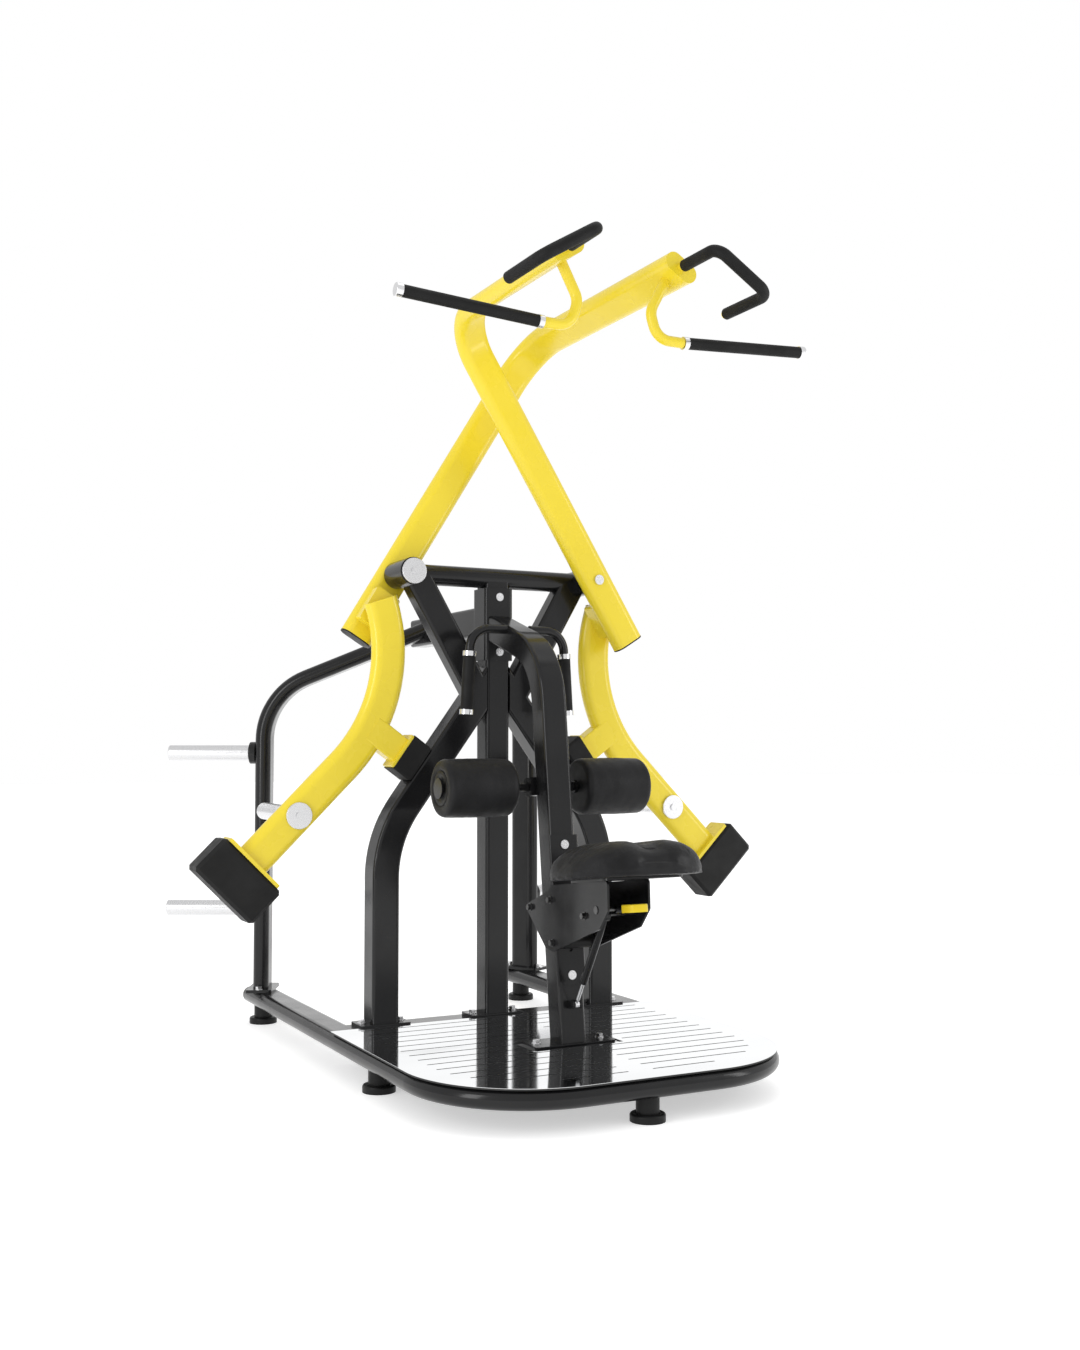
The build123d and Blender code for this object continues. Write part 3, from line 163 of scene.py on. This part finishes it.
def moulded(name, dark, light, rough, grain, strength, sheen=0.0):
    """Rubber, cast iron and plastic: fine pitted grain."""
    material, tree, shader, coords = new_material(name, rough, specular=0.2, sheen=sheen)
    tint(tree, shader, noise_node(tree, coords, 14.0), dark, light)
    vary_rough(tree, shader, noise_node(tree, coords, 30.0), rough - 0.08, rough + 0.08)
    bump(tree, shader, noise_node(tree, coords, grain, 2.0).outputs["Fac"], strength, 0.0008)
    return material


def vinyl(name, dark, light, rough, pebble, strength):
    """Synthetic leather: pebbled cells over slow creases."""
    material, tree, shader, coords = new_material(name, rough, specular=0.2, sheen=0.02)
    tint(tree, shader, noise_node(tree, coords, 20.0), dark, light)
    vary_rough(tree, shader, noise_node(tree, coords, 26.0), rough - 0.08, rough + 0.1)
    cells = tree.nodes.new("ShaderNodeTexVoronoi")
    cells.inputs["Scale"].default_value = pebble
    tree.links.new(coords.outputs["Object"], cells.inputs["Vector"])
    creases = noise_node(tree, coords, 34.0, 5.0)
    total = tree.nodes.new("ShaderNodeMath")
    total.operation = "MULTIPLY_ADD"
    total.inputs[1].default_value = 0.8
    tree.links.new(cells.outputs["Distance"], total.inputs[0])
    tree.links.new(creases.outputs["Fac"], total.inputs[2])
    bump(tree, shader, total.outputs["Value"], strength, 0.0012)
    return material


looks = {
    "black_paint": paint(
        "black_paint", (0.006, 0.006, 0.0065), (0.010, 0.010, 0.0105), 0.20, 0.08, 0.28
    ),
    "yellow_paint": paint(
        "yellow_paint", (0.74, 0.58, 0.026), (0.80, 0.63, 0.034), 0.26, 0.14, 0.4
    ),
    # the footplate's pressed grooves carry painted shade in their base colour
    "polished_plate": plate_with_painted_groove_shade(
        "polished_plate", (0.72, 0.73, 0.74), (0.78, 0.79, 0.80), 0.07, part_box("footplate")[1].z
    ),
    "silver_steel": steel(
        "silver_steel", (0.66, 0.66, 0.67), (0.74, 0.74, 0.75), 0.26, (1, 1, 1), 0.04
    ),
    "dark_steel": steel(
        "dark_steel", (0.10, 0.10, 0.10), (0.16, 0.16, 0.16), 0.30, (1, 1, 1), 0.05
    ),
    "chrome_trim": steel(
        "chrome_trim", (0.74, 0.74, 0.75), (0.82, 0.82, 0.83), 0.14, (1, 1, 1), 0.03
    ),
    "black_plastic": moulded(
        "black_plastic", (0.006, 0.006, 0.006), (0.012, 0.012, 0.012), 0.42, 500.0, 0.25
    ),
    "yellow_plastic": moulded(
        "yellow_plastic", (0.72, 0.53, 0.02), (0.80, 0.60, 0.03), 0.32, 700.0, 0.08
    ),
    "black_rubber": moulded(
        "black_rubber", (0.005, 0.005, 0.005), (0.010, 0.010, 0.010), 0.60, 650.0, 0.18
    ),
    "black_iron": moulded(
        "black_iron", (0.007, 0.007, 0.007), (0.012, 0.012, 0.012), 0.55, 260.0, 0.22
    ),
    "black_vinyl": vinyl(
        "black_vinyl", (0.005, 0.005, 0.0055), (0.010, 0.010, 0.011), 0.44, 420.0, 0.55
    ),
    "smooth_vinyl": vinyl(
        "smooth_vinyl", (0.006, 0.006, 0.0065), (0.012, 0.012, 0.013), 0.34, 700.0, 0.15
    ),
}


def dress(piece, look):
    piece.data.materials.clear()
    piece.data.materials.append(looks[look])


for entry in frame["record"]["subparts"]:
    dress(nodes[entry["node"]], entry["material_slot"])
dress(nodes["carriage_bolts"], "dark_steel")


# ---- Mesh helpers ----
def mesh_object(name, verts, faces, look, body, smooth=True):
    mesh = bpy.data.meshes.new(name)
    mesh.from_pydata([tuple(v) for v in verts], [], faces)
    mesh.update()
    if smooth:
        mesh.shade_smooth()
    piece = bpy.data.objects.new(name, mesh)
    bpy.context.scene.collection.objects.link(piece)
    dress(piece, look)
    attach(piece, body)
    return piece


def turned(name, profile, origin, axis, look, body, steps=96):
    """Lathe: profile is (distance along axis, radius) pairs, closed at both ends."""
    axis = Vector(axis).normalized()
    across = axis.orthogonal().normalized()
    other = axis.cross(across)
    verts = []
    faces = []
    for along, radius in profile:
        for step in range(steps):
            angle = 2 * math.pi * step / steps
            spoke = across * math.cos(angle) + other * math.sin(angle)
            verts.append(Vector(origin) + axis * along + spoke * radius)
    for ring in range(len(profile) - 1):
        for step in range(steps):
            here = ring * steps + step
            ahead = ring * steps + (step + 1) % steps
            faces.append((here, ahead, ahead + steps, here + steps))
    faces.append(tuple(range(steps - 1, -1, -1)))
    last = (len(profile) - 1) * steps
    faces.append(tuple(range(last, last + steps)))
    return mesh_object(name, verts, faces, look, body)


def apply_modifiers(piece):
    depsgraph = bpy.context.evaluated_depsgraph_get()
    mesh = bpy.data.meshes.new_from_object(piece.evaluated_get(depsgraph))
    piece.modifiers.clear()
    piece.data = mesh


# ---- Seat pad: sculpted saddle, swollen by a short cloth simulation ----
SHRINK = 0.975  # the cushion starts smaller, to leave room for the swelling
VOXEL = 0.006
TROUGH_DEPTH = 0.011
TROUGH_WIDTH = 0.040
RIM_DROP = 0.034
END_DROP = 0.008
SIDE_LEAN = 0.020
PRESSURE = 4.0
STIFFNESS = 25.0
LAST_FRAME = 14
SWELL_LIMIT = 0.006
SEAM_HEIGHT = 0.010
SEAM_WIDTH = 0.0025
SEAM_DEPTH = 0.0022
PUCKER = 0.0009
PANEL_HALF_WIDTH = 0.125
PANEL_HEIGHT = 0.060
post_up = Vector(joints["seat_height"]["axis"]).normalized()
post_back = Vector((0, post_up.z, -post_up.y))
pad_low, pad_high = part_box("seat_pad")
pad_centre = (pad_low + pad_high) / 2
pad_nodes = [v.co.copy() for v in nodes["seat_pad"].data.vertices]
pad_heights = [(v - pad_centre).dot(post_up) for v in pad_nodes]
pad_base = min(pad_heights)
pad_thick = max(pad_heights) - pad_base
half_width = (pad_high.x - pad_low.x) / 2
half_depth = max(abs((v - pad_centre).dot(post_back)) for v in pad_nodes)


def pad_local(point):
    """Across, behind, and height above the pad's underside."""
    offset = point - pad_centre
    return offset.x, offset.dot(post_back), offset.dot(post_up) - pad_base


def pad_drop(across, behind):
    """How far the top surface sinks: a trough between two lobes, falling to the rims."""
    trough = TROUGH_DEPTH * math.exp(-((across / TROUGH_WIDTH) ** 2)) * (0.85 - 0.15 * behind / half_depth)
    rim = RIM_DROP * (abs(across) / half_width) ** 5
    ends = END_DROP * (behind / half_depth) ** 4
    return trough + rim + ends


seat = bpy.data.objects.new("seat_cushion", nodes["seat_pad"].data.copy())
bpy.context.scene.collection.objects.link(seat)
for vertex in seat.data.vertices:
    offset = vertex.co - pad_centre
    vertex.co = pad_centre + offset * SHRINK
remesh = seat.modifiers.new("remesh", "REMESH")
remesh.mode = "VOXEL"
remesh.voxel_size = VOXEL
apply_modifiers(seat)
for vertex in seat.data.vertices:
    across, behind, height = pad_local(vertex.co)
    share = max(0.0, min(1.0, height / pad_thick))
    vertex.co -= post_up * (pad_drop(across, behind) * share**1.5)
    lean = SIDE_LEAN * share**2
    flat = Vector((across / half_width, 0.5 * behind / half_depth))
    if flat.length > 0.4:
        vertex.co -= (Vector((1, 0, 0)) * flat.x + post_back * flat.y) * lean
rest_places = [v.co.copy() for v in seat.data.vertices]
pins = seat.vertex_groups.new(name="pins")
for vertex in seat.data.vertices:
    height = pad_local(vertex.co)[2]
    pins.add([vertex.index], max(0.0, min(1.0, 1.3 - height / 0.02)), "REPLACE")
cloth = seat.modifiers.new("cloth", "CLOTH")
cloth.settings.use_pressure = True
cloth.settings.uniform_pressure_force = PRESSURE
cloth.settings.effector_weights.gravity = 0.0
cloth.settings.vertex_group_mass = "pins"
cloth.settings.tension_stiffness = STIFFNESS
cloth.settings.compression_stiffness = STIFFNESS
for number in range(1, LAST_FRAME + 1):
    bpy.context.scene.frame_set(number)
apply_modifiers(seat)
bpy.context.scene.frame_set(1)
for vertex, place in zip(seat.data.vertices, rest_places):
    move = vertex.co - place
    if move.length > SWELL_LIMIT:
        vertex.co = place + move.normalized() * SWELL_LIMIT
seat.vertex_groups.clear()
for vertex in seat.data.vertices:
    across, behind, height = pad_local(vertex.co)
    seam = math.exp(-(((height - SEAM_HEIGHT) / SEAM_WIDTH) ** 2))
    outward = Vector((across, 0, 0)) + post_back * behind
    if outward.length > 0.05:
        vertex.co -= outward.normalized() * (SEAM_DEPTH * seam)
        pucker = noise.noise(vertex.co * 60.0)
        vertex.co += outward.normalized() * (PUCKER * pucker * max(0.0, 1 - height / 0.06))
subdivide = seat.modifiers.new("subdivide", "SUBSURF")
subdivide.levels = 1
subdivide.render_levels = 1
apply_modifiers(seat)
seat.data.shade_smooth()
dress(seat, "black_vinyl")
seat.data.materials.append(looks["smooth_vinyl"])
for polygon in seat.data.polygons:
    across, behind, height = pad_local(polygon.center)
    inside = (across / PANEL_HALF_WIDTH) ** 2 + ((height - 0.002) / PANEL_HEIGHT) ** 2 < 1
    if behind < -half_depth * 0.45 and inside and polygon.normal.dot(post_back) < -0.2:
        polygon.material_index = 1
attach(seat, "seat")
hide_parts("seat_pad")


def pad_outline(inset, corner_power=3.2, count=160):
    """Super-ellipse round the pad in its own plane."""
    points = []
    for step in range(count):
        angle = 2 * math.pi * step / count
        cx, cy = math.cos(angle), math.sin(angle)
        across = (half_width - inset) * math.copysign(abs(cx) ** (2 / corner_power), cx)
        behind = (half_depth - inset) * math.copysign(abs(cy) ** (2 / corner_power), cy)
        points.append((across, behind))
    return points


# Board under the cushion
board = []
for inset, height in ((0.030, 0.001), (0.022, 0.003), (0.022, 0.012), (0.030, 0.014)):
    for across, behind in pad_outline(inset):
        place = pad_centre + Vector((across, 0, 0)) + post_back * behind
        board.append(place + post_up * (pad_base + height))
count = len(pad_outline(0.0))
board_faces = [tuple(range(count - 1, -1, -1)), tuple(range(3 * count, 4 * count))]
for ring in range(3):
    for step in range(count):
        here = ring * count + step
        ahead = ring * count + (step + 1) % count
        board_faces.append((here, ahead, ahead + count, here + count))
mesh_object("seat_board", board, board_faces, "black_plastic", "seat", smooth=False)

# ---- Thigh rollers: crowned foam with rippled covers, and end caps ----
ROLLER_INSET = 0.0015
ROLLER_SOFT = 0.016
CROWN = 0.0012
RIPPLE = 0.0008
for side_name, side in (("left", -1), ("right", 1)):
    node = f"thigh_roller_{side_name}"
    low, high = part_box(node)
    middle = (low + high) / 2
    length = high.x - low.x
    radius = (high.z - low.z) / 2
    inner = middle - Vector((side * length / 2, 0, 0))
    soft = ROLLER_SOFT
    profile = [(ROLLER_INSET, 0.020), (ROLLER_INSET, 0.040)]
    for step in range(9):
        turn = math.pi / 2 * step / 8
        along = ROLLER_INSET + soft * (1 - math.cos(turn))
        profile.append((along, radius - soft + soft * math.sin(turn) - ROLLER_INSET))
    for step in range(1, 40):
        share = step / 40
        crown = CROWN * math.sin(math.pi * share)
        along = ROLLER_INSET + soft + (length - 2 * soft - 2 * ROLLER_INSET) * share
        profile.append((along, radius - ROLLER_INSET + crown))
    for step in range(9):
        turn = math.pi / 2 * (1 - step / 8)
        along = length - ROLLER_INSET - soft + soft * math.cos(turn)
        profile.append((along, radius - soft + soft * math.sin(turn) - ROLLER_INSET))
    profile += [(length - ROLLER_INSET, 0.052), (length - 0.0060, 0.048), (length - 0.0065, 0.020)]
    body = f"roller_{side_name}"
    roller = turned(
        f"roller_foam_{side_name}", profile, inner, (side, 0, 0), "black_vinyl", body, 160
    )
    for vertex in roller.data.vertices:
        spoke = Vector((0, vertex.co.y - middle.y, vertex.co.z - middle.z))
        if spoke.length > radius * 0.6:
            place = vertex.co.copy()
            ripple = noise.noise(Vector((place.x * 55, spoke.y * 22, spoke.z * 22)))
            vertex.co += spoke.normalized() * (RIPPLE * ripple)
    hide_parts(node)
    cap = [(-0.008, 0.020), (-0.008, 0.046), (-0.004, 0.0475), (-0.0025, 0.046)]
    cap += [(-0.0025, 0.036), (-0.0045, 0.033), (-0.0045, 0.020)]
    outer = middle + Vector((side * length / 2, 0, 0))
    turned(f"roller_cap_{side_name}", cap, outer, (side, 0, 0), "black_plastic", body)

# ---- Dark inset on the release paddle ----
paddle_low, paddle_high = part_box("lever_paddle")
paddle_centre = (paddle_low + paddle_high) / 2
paddle_top = max((v.co - paddle_centre).dot(post_up) for v in nodes["lever_paddle"].data.vertices)
inset_verts = []
for grow, height in ((0.0, -0.003), (0.0, 0.0006), (-0.003, 0.0012)):
    for step in range(48):
        angle = 2 * math.pi * step / 48
        cx, cy = math.cos(angle), math.sin(angle)
        across = (0.015 + grow) * math.copysign(abs(cx) ** 0.6, cx)
        behind = (0.019 + grow) * math.copysign(abs(cy) ** 0.6, cy)
        place = paddle_centre + Vector((across, 0, 0)) + post_back * (behind - 0.004)
        inset_verts.append(place + post_up * (paddle_top + height))
inset_faces = [tuple(range(47, -1, -1)), tuple(range(96, 144))]
for ring in range(2):
    for step in range(48):
        here = ring * 48 + step
        ahead = ring * 48 + (step + 1) % 48
        inset_faces.append((here, ahead, ahead + 48, here + 48))
mesh_object("paddle_inset", inset_verts, inset_faces, "black_plastic", "release", smooth=False)

# ---- Stage: pale floor, soft studio light, camera ----
floor_material, tree, shader, coords = new_material("pale_floor", 0.7, specular=0.1)
tint(tree, shader, noise_node(tree, coords, 1.2), (0.80, 0.80, 0.80), (0.82, 0.82, 0.82))
shader.inputs["Emission Color"].default_value = (1.0, 1.0, 1.0, 1.0)
shader.inputs["Emission Strength"].default_value = 0.5
floor_mesh = bpy.data.meshes.new("studio_floor")
floor_mesh.from_pydata([(-30, -30, 0), (30, -30, 0), (30, 30, 0), (-30, 30, 0)], [], [(0, 1, 2, 3)])
floor = bpy.data.objects.new("studio_floor", floor_mesh)
floor.data.materials.append(floor_material)
bpy.context.scene.collection.objects.link(floor)

world = bpy.data.worlds.new("studio")
world.use_nodes = True
world_tree = world.node_tree
glow = world_tree.nodes["Background"]
glow.inputs["Color"].default_value = (1.0, 1.0, 1.0, 1)
seen = world_tree.nodes.new("ShaderNodeLightPath")
level = world_tree.nodes.new("ShaderNodeMapRange")
level.inputs["To Min"].default_value = 0.85
level.inputs["To Max"].default_value = 1.0
world_tree.links.new(seen.outputs["Is Camera Ray"], level.inputs["Value"])
world_tree.links.new(level.outputs["Result"], glow.inputs["Strength"])
bpy.context.scene.world = world


def softbox(name, place, target, width, height, power):
    light = bpy.data.lights.new(name, "AREA")
    light.shape = "RECTANGLE"
    light.size = width
    light.size_y = height
    light.energy = power
    lamp = bpy.data.objects.new(name, light)
    lamp.location = place
    lamp.visible_camera = False
    aim = Vector(target) - Vector(place)
    lamp.rotation_euler = aim.to_track_quat("-Z", "Y").to_euler()
    bpy.context.scene.collection.objects.link(lamp)


softbox("key_left", (-4.4, -1.8, 1.9), (0, 0, 0.7), 1.2, 3.0, 60)
softbox("fill_right", (3.6, -3.2, 1.9), (0, 0, 0.8), 1.0, 2.6, 35)
softbox("top", (0.3, -0.6, 5.2), (0, 0, 1.0), 3.0, 3.0, 18)
softbox("rim_rear", (2.4, 4.6, 1.5), (0, 0, 0.6), 5.0, 2.8, 14)

CAMERA_PLACE = (-1.837, -3.820, 0.904)
YAW = math.radians(27.4)
PITCH = math.radians(2.8)
LENS = 47.63
camera_data = bpy.data.cameras.new("camera")
camera_data.sensor_fit = "HORIZONTAL"
camera_data.sensor_width = 36.0
camera_data.lens = LENS
camera_data.clip_end = 100.0
camera = bpy.data.objects.new("camera", camera_data)
camera.location = CAMERA_PLACE
camera.rotation_euler = (math.pi / 2 + PITCH, 0, -YAW)
bpy.context.scene.collection.objects.link(camera)
bpy.context.scene.camera = camera
bpy.context.scene.view_settings.view_transform = "Standard"
